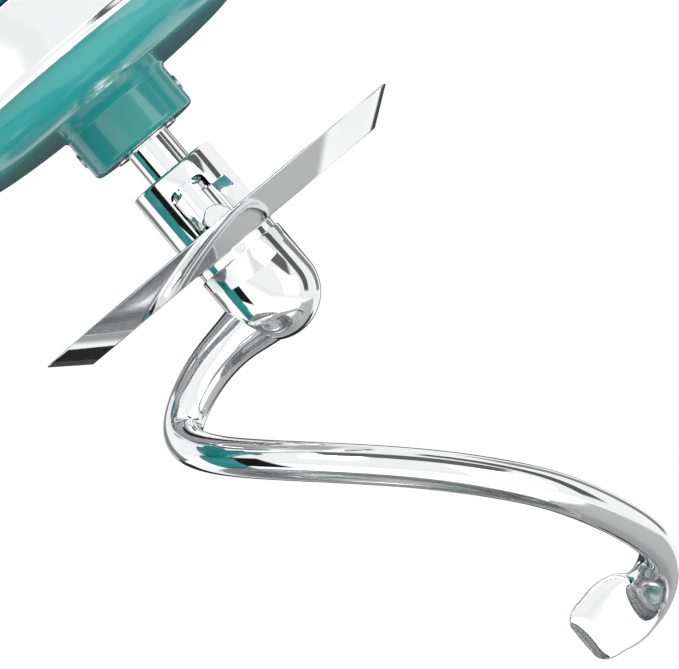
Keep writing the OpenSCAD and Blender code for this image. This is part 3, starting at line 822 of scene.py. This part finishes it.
@dataclass
class Planetary:
    """The painted carrier with its boss, and the bright ring round it. Heights are above the hinge."""

    dish_r: float = 54.0
    flat_r: float = 34.0
    dish_z: float = -15.0
    rise: float = 12.0
    hub_r: float = 7.6
    boss_r: float = 15.95
    boss_low: float = -28.1
    pin_z: float = -21.5

    def dish(self) -> bpy.types.Mesh:
        """Returns the dish: flat below, its edge a quarter of an ellipse, open above."""
        width = self.dish_r - self.flat_r
        low, brim = self.dish_z, self.dish_z + self.rise
        skin = [(0.0, low), (self.flat_r * 0.5, low)]
        skin += [(self.flat_r + width * math.sin(a), low + self.rise * (1 - math.cos(a)))
                 for a in np.linspace(0, QUARTER, 24)]
        skin += [(self.dish_r, brim + 1), (self.dish_r - 3, brim + 1), (self.dish_r - 4, brim - 4),
                 (self.flat_r, low + 3), (self.hub_r, low + 3), (self.hub_r, low + 15), (0.0, low + 15)]
        return revolved(skin, 160)

    def boss(self) -> bpy.types.Mesh:
        """Returns the boss, flared where it leaves the dish and bored for the shaft."""
        outline = [(9.0, self.boss_low), (self.boss_r, self.boss_low), (self.boss_r, self.dish_z - 1.2),
                   (self.boss_r + 1.2, self.dish_z + 0.1), (self.boss_r, self.dish_z + 2), (12, 2), (9.0, 2)]
        return turned(outline, [0.5, 1.7, 1.0, 0.3, 0, 0, 0], 128, ring=True, steps=6)

    def build(self, kit: Kit) -> None:
        """Adds the carrier, its pins and the drip ring."""
        carrier = self.boss()
        carrier.transform(PLANET_PLACE.inverted() @ BEATER_PLACE)
        kit.add("planet_carrier_cast", joined(self.dish(), carrier), PLANET_PLACE, "carrier", "teal_paint",
                ["planet_carrier"], 30)
        stud = turned([(0, 9.5), (2.2, 9.5), (2.2, 16.45), (0, 16.45)], [0, 0, 0.5, 0], 32)
        lift = Matrix.Translation((0, 0, self.pin_z * MM))
        pins = repeated(stud, [lift @ Matrix.Rotation(side * QUARTER, 4, "Y") for side in (-1, 1)])
        kit.add("boss_pins_pressed", pins, BEATER_PLACE, "carrier", "steel", ["boss_pins"])
        ring = turned([(55.4, -3.4), (56.2, -4.3), (57.7, -4.2), (58.0, -3.0), (57.1, -1.6), (57.4, 4),
                       (57.9, 13.9), (46, 13.9), (46, 12.6), (56.6, 12.6), (56.2, 2)],
                      [0.5, 0.6, 0.6, 0.6, 1.0, 12, 0.5, 0, 0, 0.4, 0], 256, ring=True)
        kit.add("drip_ring_spun", ring, PLANET_PLACE, "head", "chrome", ["drip_ring"], 40)


@dataclass
class HeadHousing:
    """The head's two shells, its trim band, nose cap, vents and screws, in the raised head's axes."""

    reach: float = 190.0
    nose_r: float = 61.9
    low: float = 14.0
    seam: float = 62.0
    dome: float = 46.0
    tail_x: float = -26.0
    tail_r: float = 45.9
    tail_z: float = 55.0
    tail_flat: float = 0.88
    edge: float = 9.0
    wall: float = 3.0
    screw_z: float = 13.3
    screw_places: tuple[tuple[float, float], ...] = ((20, 11), (20, -11), (112, 28), (112, -28))

    def blank(self) -> bpy.types.Mesh:
        """Returns the head's whole outer form as one smooth closed skin."""
        work = bmesh.new()
        turns = np.linspace(0, 2 * math.pi, 96, endpoint=False)
        rises = np.linspace(0, QUARTER, 24)
        for turn in turns:
            for rise in rises:
                flat = self.nose_r * math.cos(rise)
                work.verts.new(((self.reach + flat * math.cos(turn)) * MM, flat * math.sin(turn) * MM,
                                (self.seam + self.dome * math.sin(rise)) * MM))
                foot = self.nose_r - self.edge * (1 - math.cos(rise))
                work.verts.new(((self.reach + foot * math.cos(turn)) * MM, foot * math.sin(turn) * MM,
                                (self.low + self.edge * (1 - math.sin(rise))) * MM))
            for rise in np.linspace(-QUARTER, QUARTER, 40):
                flat = self.tail_r * math.cos(rise)
                height = max(self.low, self.tail_z + self.tail_r * self.tail_flat * math.sin(rise))
                work.verts.new(((self.tail_x + flat * math.cos(turn)) * MM, flat * math.sin(turn) * MM,
                                height * MM))
        bmesh.ops.convex_hull(work, input=work.verts)
        bmesh.ops.delete(work, geom=[v for v in work.verts if not v.link_faces], context="VERTS")
        mesh = bpy.data.meshes.new("blank")
        work.to_mesh(mesh)
        work.free()
        return cast_skin(mesh, 2.2, 8)

    def shell(self, low: float, high: float) -> bpy.types.Mesh:
        """Returns the part of the skin between two heights, with its wall's thickness."""
        work = bmesh.new()
        work.from_mesh(self.blank())
        for height, normal in ((low, -1), (high, 1)):
            bmesh.ops.bisect_plane(work, geom=work.verts[:] + work.edges[:] + work.faces[:], dist=WELD,
                                   plane_co=(0, 0, height * MM), plane_no=(0, 0, normal), clear_outer=True)
        bmesh.ops.recalc_face_normals(work, faces=work.faces)
        top = max(work.faces, key=lambda face: abs(face.calc_center_median().y))
        if top.normal.y * top.calc_center_median().y < 0:
            bmesh.ops.reverse_faces(work, faces=work.faces)
        mesh = bpy.data.meshes.new("shell")
        work.to_mesh(mesh)
        work.free()

        def setup(holder: bpy.types.Object) -> None:
            """Adds the wall's thickness, inwards."""
            solid = holder.modifiers.new("wall", "SOLIDIFY")
            solid.thickness = self.wall * MM
            solid.offset = -1.0

        return baked(mesh, setup)

    def seam_line(self, outset: float) -> np.ndarray:
        """Returns the head's outline at the seam, pushed out by outset: two arcs and their tangents."""
        lean = math.asin((self.nose_r - self.tail_r) / (self.reach - self.tail_x))
        stop = QUARTER + lean
        seam_tail = 0.986  # the tail narrows a little above its widest level
        nose, tail = self.nose_r + outset, self.tail_r * seam_tail + outset
        front = arc(nose, np.linspace(-stop, stop, 90), (self.reach, 0.0))
        back = arc(tail, np.linspace(stop, 2 * math.pi - stop, 60), (self.tail_x, 0.0))
        return np.array(front + back)

    def band(self) -> bpy.types.Mesh:
        """Returns the trim band: a shallow crowned strip round the seam."""
        section = [(-1.0, -5.0), (0.5, -4.9), (0.95, -4.3), (1.15, 0.0), (0.95, 4.3), (0.5, 4.9), (-1.0, 5.0)]
        lines = [(self.seam_line(out), self.seam + rise) for out, rise in section]
        count = len(lines[0][0])
        rings = [[(line[i][0], line[i][1], height) for line, height in lines] for i in range(count)]
        return stacked(rings + [rings[0]], cap=False)

    def cap(self) -> bpy.types.Mesh:
        """Returns the nose cap: a turned plug with a dished face."""
        mesh = turned([(0, 9.2), (9, 8.6), (11.5, 10.4), (15.8, 9.2), (15.95, 0), (0, 0)],
                      [0, 2, 1.2, 1.5, 0, 0], 96)
        seat = Matrix.Translation(((self.reach + 58) * MM, 0, 38 * MM))
        mesh.transform(seat @ Matrix.Rotation(QUARTER, 4, "Y"))
        return mesh

    def vents(self, mesh: bpy.types.Mesh) -> bpy.types.Mesh:
        """Returns the lower shell with a row of round-ended air slots through its tail."""
        upright = Matrix.Rotation(-QUARTER, 4, "Y")
        slot = rounded([(28, -1.5), (52, -1.5), (52, 1.5), (28, 1.5)], [1.45] * 4)
        for index in range(-3, 4):
            place = Matrix.Translation((-44 * MM, index * 8 * MM, 0))
            mesh = cut(mesh, prism(slot, 0.0, 40.0, place @ upright))
        return mesh

    def lug(self) -> bpy.types.Mesh:
        """Returns the hinge block under the head, bored for its bushes."""
        side = [(-14, 16), (-12, 0)] + arc(12, np.linspace(math.pi, 2 * math.pi, 24)) + [(14, 16)]
        block = prism(side, -26.0, 26.0, ACROSS)
        bore = revolved([(0, -40), (7.0, -40), (7.0, 40), (0, 40)], 48)
        bore.transform(ACROSS)
        return bevelled(cut(block, bore), 0.6)

    def build(self, kit: Kit) -> None:
        """Adds the head's outer pieces."""
        gap = 0.2
        lower = joined(self.vents(self.shell(self.low - 1, self.seam - gap)), self.lug())
        upper = self.shell(self.seam + gap, 120)
        for name, mesh, slot, node, crease in (
                ("head_lower_cast", lower, "teal_paint", "head_lower_shell", 40),
                ("head_upper_cast", upper, "teal_paint", "head_upper_shell", 40),
                ("trim_band_rolled", self.band(), "chrome", "trim_band", 60),
                ("nose_cap_turned", self.cap(), "chrome", "nose_cap", 40)):
            kit.add(name, mesh, HEAD_PLACE, "head", slot, [node], crease)
        spots = [HEAD_PLACE @ Vector((x * MM, y * MM, self.screw_z * MM)) for x, y in self.screw_places]
        heads = screws(spots, -HEAD_UP, 3.6, kit.materials["steel"])
        kit.add("shell_screw_heads", heads, Matrix(), "head", "steel", ["shell_screws"])


@dataclass
class Column:
    """The painted column with its hinge ears. Heights are below the hinge, x is forward."""

    half: float = 41.9
    ear_r: float = 12.9
    foot: float = -240.0

    def front(self) -> Profile:
        """Returns the side outline, from the bottom rear round over the top to the bottom front."""
        return rounded([(-61.9, self.foot), (-61.9, -42), (-54, -28), (-10, 6), (26, 6), (36, -8), (40, -90),
                        (52, -170), (66, self.foot)], [0, 14, 12, 8, 8, 12, 60, 60, 0], 10)

    def casting(self) -> bpy.types.Mesh:
        """Returns the column: rounded all over, with its ears, the fork between them and the rear opening."""
        body = prism(self.front(), -self.half, self.half, ACROSS)
        rear, front, half = -61.95, 68, self.half
        plan = rounded([(rear, -half), (front, -half), (front, half), (rear, half)], [16] * 4, 12)
        body = cut(body, prism(plan, self.foot, 20), "INTERSECT")
        ears = revolved([(0, -half), (self.ear_r, -half), (self.ear_r, half), (0, half)], 64)
        ears.transform(ACROSS)
        body = cast_skin(cut(body, ears, "UNION"), 1.6, 6)
        fork = prism([(-19, -27), (19, -27), (19, 27), (-19, 27)], -19, 40)
        opening = rounded([(-62, -214.5), (-56, -214.5), (-56, -83.5), (-62, -83.5)], [0] * 4)
        return cut(cut(body, fork), prism(opening, -26, 26, ACROSS))

    def build(self, kit: Kit) -> None:
        """Adds the column, its rear cover and its hinge caps."""
        kit.add("column_cast", self.casting(), COLUMN_PLACE, "base", "teal_paint", ["column_shell"], 40)
        plate = prism(rounded([(-71.8, -25.3), (57.8, -25.3), (57.8, 25.3), (-71.8, 25.3)], [6] * 4), 0, 2.4)
        seat = Matrix.Translation((-0.0622, 0, -0.142)) @ Matrix.Rotation(-QUARTER, 4, "Y")
        kit.add("column_cover_moulded", bevelled(plate, 0.6), COLUMN_PLACE @ seat, "base", "dark_plastic",
                ["column_cover"], 40)
        cap = turned([(0, 43), (7.9, 43), (7.9, 45), (6.8, 45.95), (0, 45.95)], [0, 0, 0.8, 0.6, 0], 64)
        caps = repeated(cap, [Matrix.Rotation(turn * QUARTER, 4, "X") for turn in (-1, 1)])
        kit.add("hinge_caps_turned", caps, COLUMN_PLACE, "base", "chrome", ["hinge_caps"], 40)


@dataclass
class Base:
    """The painted base: a round front under the bowl run into a square rear."""

    radius: float = 100.0
    rear: float = -45.0
    rear_x: float = 35.0
    rear_y: float = 75.0
    waist_x: float = -12.0
    bowl_x: float = 190.0
    foot_places: tuple[tuple[float, float], ...] = ((235, 72), (235, -72), (-60, 55), (-60, -55))

    def outline(self, inset: float) -> Profile:
        """Returns the plan outline drawn in by inset: arcs at its corners and a straight waist."""
        r = self.radius - inset
        x, y = self.rear - self.rear_x + inset, self.rear_y - inset
        corner = max(14.0 - inset, 3.0)
        points = arc(r, np.linspace(-QUARTER, QUARTER, 80), (self.bowl_x, 0.0))
        points.append((self.waist_x, y))
        for side, start in ((y, 90), (-y, 180)):
            middle = (x + corner, side - math.copysign(corner, side))
            points += arc(corner, [math.radians(start + a) for a in np.linspace(0, 90, 12)], middle)
        points.append((self.waist_x, -y))
        return points

    def layered(self, steps: Sequence[tuple[float, float]]) -> bpy.types.Mesh:
        """Returns a solid whose outline is drawn in by the first of each step at the height of the second."""
        return stacked([[(px, py, height) for px, py in self.outline(inset)] for inset, height in steps])

    def housing(self) -> bpy.types.Mesh:
        """Returns the housing: a solid with a rounded top edge."""
        steps = [(0.6, 5.0), (0.1, 6.0), (0.0, 8.0), (0.0, 28.0)]
        steps += [(6 * (1 - math.cos(a)), 28 + 6 * math.sin(a)) for a in np.linspace(0.15, QUARTER, 10)]
        return self.layered(steps)

    def build(self, kit: Kit) -> None:
        """Adds the housing, its plate and its feet."""
        place = Matrix.Translation((HINGE.x, 0, 0))
        kit.add("base_housing_cast", self.housing(), place, "base", "teal_paint", ["base_housing"], 40)
        plate = self.layered([(4.4, 3.0), (4.0, 3.3), (4.0, 4.8)])
        kit.add("base_plate_pressed", plate, place, "base", "dark_plastic", ["base_plate"], 40)
        foot = turned([(0, 0), (9.6, 0), (10.95, 1.2), (10.95, 3), (7, 3), (7, 5), (0, 5)],
                      [0, 0.8, 0.5, 0.2, 0, 0, 0], 48)
        feet = repeated(foot, [Matrix.Translation((x * MM, y * MM, 0)) for x, y in self.foot_places])
        kit.add("feet_moulded", feet, place, "base", "rubber", ["rubber_feet"], 40)


@dataclass
class Bowl:
    """The polished bowl: a rolled rim, a foot ring and a handle, with the clamp plate it turns into."""

    foot_r: float = 46.0
    corner: float = 59.0
    mouth_r: float = 111.95
    floor: float = 48.0
    rim: float = 186.4
    sheet: float = 1.1
    curl_r: float = 2.15
    curl_x: float = 113.6

    def shell(self) -> bpy.types.Mesh:
        """Returns the bowl's wall and its rolled rim, in the bowl's own axes."""
        stop = math.radians(86.4)
        outside = [(0.0, self.floor)] + [(self.foot_r + self.corner * math.sin(a),
                                          self.floor + self.corner * (1 - math.cos(a)))
                                         for a in np.linspace(0, stop, 40)]
        outside += [(self.mouth_r, self.rim - 1.2)]
        rolled = [(self.curl_x - self.curl_r * math.cos(a), self.rim + self.curl_r * math.sin(a))
                  for a in np.linspace(0, math.radians(250), 20)]
        inside = [(px - self.sheet, py + 0.05) for px, py in reversed(outside[2:])]
        inside += [(self.foot_r, self.floor + self.sheet), (0.0, self.floor + self.sheet)]
        return revolved(outside + rolled[::-1] + inside, 256)

    def handle(self) -> bpy.types.Mesh:
        """Returns the D-shaped strap handle."""
        corners = rounded([(103, 158), (141, 158), (155, 144), (155, 100), (143, 84), (103, 82)],
                          [0, 14, 14, 18, 14, 0], 10, closed=False)
        rings = []
        for index, (px, pz) in enumerate(corners):
            before, after = corners[max(index - 1, 0)], corners[min(index + 1, len(corners) - 1)]
            run = np.array([after[0] - before[0], after[1] - before[1]], float)
            run /= np.linalg.norm(run)
            across = np.array([-run[1], run[0]])
            ring = []
            for turn in np.linspace(0, 2 * math.pi, 32, endpoint=False):
                wide = 8.9 * math.copysign(abs(math.sin(turn)) ** 0.6, math.sin(turn))
                thick = 2.4 * math.copysign(abs(math.cos(turn)) ** 0.7, math.cos(turn))
                ring.append((px + 2 + across[0] * thick - 4, wide, pz + across[1] * thick))
            rings.append(ring)
        return stacked(rings)

    def foot(self) -> bpy.types.Mesh:
        """Returns the foot ring with its three bayonet lugs."""
        ring = turned([(44.1, 37.5), (51.9, 37.5), (51.9, 46.6), (44.1, 46.6)], [0.4, 0.6, 1.2, 1.2], 160,
                      ring=True)
        return joined(ring, *(tab(51.2, 55.9, middle, 13, 37.5, 39.8, 0.4) for middle in (0, 120, 240)))

    def clamp(self) -> bpy.types.Mesh:
        """Returns the clamp plate with its wall and three tabs."""
        ring = turned([(AXIS, 34), (61.9, 34), (61.9, 36.9), (59.9, 37.2), (59.9, 41.9), (56.7, 41.9),
                       (56.7, 36.9), (AXIS, 36.9)], [0, 0, 0.8, 1.2, 0.6, 0.4, 0.3, 0], 192, ring=True)
        return joined(ring, *(tab(52.9, 57.5, middle, 15, 40.5, 41.9, 0.3) for middle in (60, 180, 300)))

    def build(self, kit: Kit) -> None:
        """Adds the bowl's pieces and the clamp plate."""
        place = BOWL_PLACE
        kit.add("bowl_spun", self.shell(), place, "bowl", "bowl_steel", ["bowl_shell"], 40)
        kit.add("bowl_handle_bent", self.handle(), place, "bowl", "bowl_steel", ["bowl_handle"], 50)
        kit.add("bowl_foot_turned", self.foot(), place, "bowl", "bowl_steel", ["bowl_foot"], 40)
        kit.add("clamp_plate_turned", self.clamp(), place, "base", "steel", ["bowl_clamp_plate"], 40)


@dataclass
class Controls:
    """The speed dial on the head's side and the lock lever on the column's."""

    dial_x: float = 104.0
    dial_z: float = 50.0
    lever_x: float = 24.0
    lever_z: float = -52.0

    def dial(self) -> bpy.types.Mesh:
        """Returns the dial: a skirt and a tapered, fluted grip."""
        count, flutes = 240, 24
        levels = ((58.1, 14.6, 0), (58.3, 14.9, 0), (60.6, 14.9, 0), (61.8, 14.4, 0), (62.0, 13.4, 0.7),
                  (66, 12.9, 0.7), (70.6, 12.1, 0.7), (71.6, 11.6, 0.4), (71.95, 10.6, 0))
        rings = []
        for depth, radius, flute in levels:
            ring = []
            for index in range(count):
                turn = 2 * math.pi * index / count
                r = radius - flute * (0.5 + 0.5 * math.cos(flutes * turn)) ** 2
                ring.append((r * math.cos(turn), -depth, r * math.sin(turn)))
            rings.append(ring)
        return stacked(rings)

    def lever(self) -> bpy.types.Mesh:
        """Returns the lever: a hub disc, a flat bar and a knob."""
        hub = turned([(0, 43.1), (8.9, 43.1), (8.9, 48.9), (0, 48.9)], [0, 0.4, 1.4, 0], 64)
        knob = turned([(0, 44), (6.4, 44), (6.9, 45), (6.9, 51.9), (0, 51.9)], [0, 0.5, 1, 2.2, 0], 64)
        knob.transform(Matrix.Translation((0, -30 * MM, 0)))
        bar = prism([(-4.6, 2), (-3.9, -30), (3.9, -30), (4.6, 2)], 43.8, 47.6)
        whole = joined(hub, knob, bevelled(bar, 1.0))
        whole.transform(ACROSS)
        return whole

    def build(self, kit: Kit) -> None:
        """Adds both controls."""
        place = HEAD_PLACE @ Matrix.Translation((self.dial_x * MM, 0, self.dial_z * MM))
        kit.add("speed_dial_moulded", self.dial(), place, "dial", "dark_plastic", ["speed_dial"], 35)
        place = COLUMN_PLACE @ Matrix.Translation((self.lever_x * MM, 0, self.lever_z * MM))
        kit.add("lock_lever_moulded", self.lever(), place, "lock", "dark_plastic", ["lock_lever"], 40)


# ---------------------------------------------------------------- stage and camera


def matt_material(name: str, colour: Sequence[float]) -> bpy.types.Material:
    """Returns a matt stage material."""
    graph = Graph(name)
    return graph.finish(Base_Color=(*colour, 1), Roughness=0.9, Specular_IOR_Level=0.1)


@dataclass
class Studio:
    """The floor, the lights, the camera and the cards that the bright metal mirrors."""

    distance: float = 0.78
    width: float = 0.0883
    aim: tuple[float, float, float] = (0.0062, 0.0, -0.0608)
    eye: tuple[float, float] = (0.0, -0.0256)
    floor_size: float = 12.0
    floor_drop: float = 0.0005
    sky: float = 1.06

    def floor(self) -> None:
        """Lays a wide pale floor."""
        bpy.ops.mesh.primitive_plane_add(size=self.floor_size, location=(0, 0, -self.floor_drop))
        plane = bpy.context.object
        plane.name = "floor"
        plane.data.materials.append(matt_material("floor_white", (0.95, 0.95, 0.95)))

    def card(self, name: str, place: Vector, target: Vector, size: tuple[float, float], shade: float,
             along: Vector = Vector((0, 0, 1))) -> None:
        """Hangs a soft-edged card that reflections see and the camera doesn't.

        Args:
            name: the card's name.
            place: its middle.
            target: what it faces.
            size: its width and its length.
            shade: how light it is, from 0 to 1.
            along: which way its length runs.
        """
        bpy.ops.mesh.primitive_plane_add(size=1)
        panel = bpy.context.object
        panel.name = name
        facing = (target - place).normalized()
        length = (along - facing * along.dot(facing)).normalized()
        turn = Matrix((length.cross(facing), length, facing)).transposed().to_4x4()
        panel.matrix_world = Matrix.Translation(place) @ turn @ Matrix.Diagonal((*size, 1, 1))
        graph = Graph(name)
        across, down = graph.axis("X"), graph.axis("Y")
        fade = (across * across * -4.0 + 1.0).smooth(0.0, 0.4) * (down * down * -4.0 + 1.0).smooth(0.0, 0.3)
        panel.data.materials.append(graph.finish(Base_Color=(shade, shade, shade, 1), Roughness=1.0,
                                                 Specular_IOR_Level=0.0, Alpha=fade))
        panel.visible_camera = False
        panel.visible_shadow = False
        panel.visible_diffuse = False

    def lamp(self, name: str, place: Sequence[float], target: Vector, size: float, power: float) -> None:
        """Adds a soft square lamp."""
        light = bpy.data.lights.new(name, "AREA")
        light.shape = "SQUARE"
        light.size = size
        light.energy = power
        holder = bpy.data.objects.new(name, light)
        holder.location = place
        holder.rotation_euler = (target - Vector(place)).to_track_quat("-Z", "Y").to_euler()
        bpy.context.collection.objects.link(holder)

    def camera(self) -> Vector:
        """Sets the camera at the dish's level, square to the mixer's side, and returns what it looks at."""
        eye = COLLAR_PLACE @ Vector((self.eye[0], 0.0, self.eye[1]))
        eye.y -= self.distance
        target = COLLAR_PLACE @ Vector(self.aim)
        look = (target - eye).normalized()
        right = look.cross(Vector((0, 0, 1))).normalized()
        up = right.cross(look)
        lens = bpy.data.cameras.new("camera")
        lens.sensor_fit = "HORIZONTAL"
        lens.angle = 2 * math.atan(self.width / self.distance)
        lens.clip_start = 0.01
        holder = bpy.data.objects.new("camera", lens)
        holder.matrix_world = Matrix((right, up, -look)).transposed().to_4x4()
        holder.location = eye
        bpy.context.collection.objects.link(holder)
        bpy.context.scene.camera = holder
        return target

    def build(self) -> None:
        """Sets the whole stage."""
        scene = bpy.context.scene
        scene.view_settings.view_transform = "Standard"
        scene.view_settings.look = "None"
        world = bpy.data.worlds.new("studio")
        world.use_nodes = True
        backdrop = world.node_tree.nodes["Background"]
        backdrop.inputs["Color"].default_value = (1, 1, 1, 1)
        backdrop.inputs["Strength"].default_value = self.sky
        scene.world = world
        self.floor()
        target = self.camera()
        self.lamp("key", target + Vector((-0.6, -1.1, 0.9)), target, 0.7, 10.0)
        self.lamp("fill", target + Vector((0.9, -0.9, 0.3)), target, 0.9, 5.0)
        # The cards stand where they give the hook its dark lines and grey bands. No finish holds those.
        fore, up, side = HEAD_FORE, HEAD_UP, HEAD_SIDE
        level = Vector((1, 0, 0))
        self.card("flag_left", target - fore * 0.55 - side * 0.25, target, (0.28, 1.1), 0.01, up)
        self.card("flag_right", target + fore * 0.6 - side * 0.04, target, (0.2, 1.0), 0.1, up)
        self.card("flag_high", target + Vector((0.1, -0.38, 0.56)), target, (0.34, 1.0), 0.12, level)
        self.card("grey_under", target + Vector((0.14, 0.1, -0.29)), target, (0.42, 0.9), 0.4, level)
        self.card("edge_back", target + Vector((0.0, 0.6, 0.0)), target, (0.5, 0.7), 0.05)
        self.card("edge_left", target + Vector((-0.42, 0.5, 0.0)), target, (0.3, 1.0), 0.2)
        self.card("edge_right", target + Vector((0.46, 0.5, 0.35)), target, (0.3, 0.8), 0.2)
        self.card("edge_low", target + Vector((0.05, 0.42, -0.26)), target, (0.17, 0.8), 0.02, level)


# ---------------------------------------------------------------- the whole mixer


def main() -> None:
    """Builds the mixer and its stage."""
    logging.basicConfig(level=logging.INFO, format="%(name)s: %(message)s")
    kit = Kit()
    for part in (DoughHook(), BeaterDrive(), Planetary(), HeadHousing(), Column(), Base(), Bowl(),
                 Controls()):
        part.build(kit)
    kit.dress_nodes()
    Studio().build()


if __name__ == "__main__":
    main()
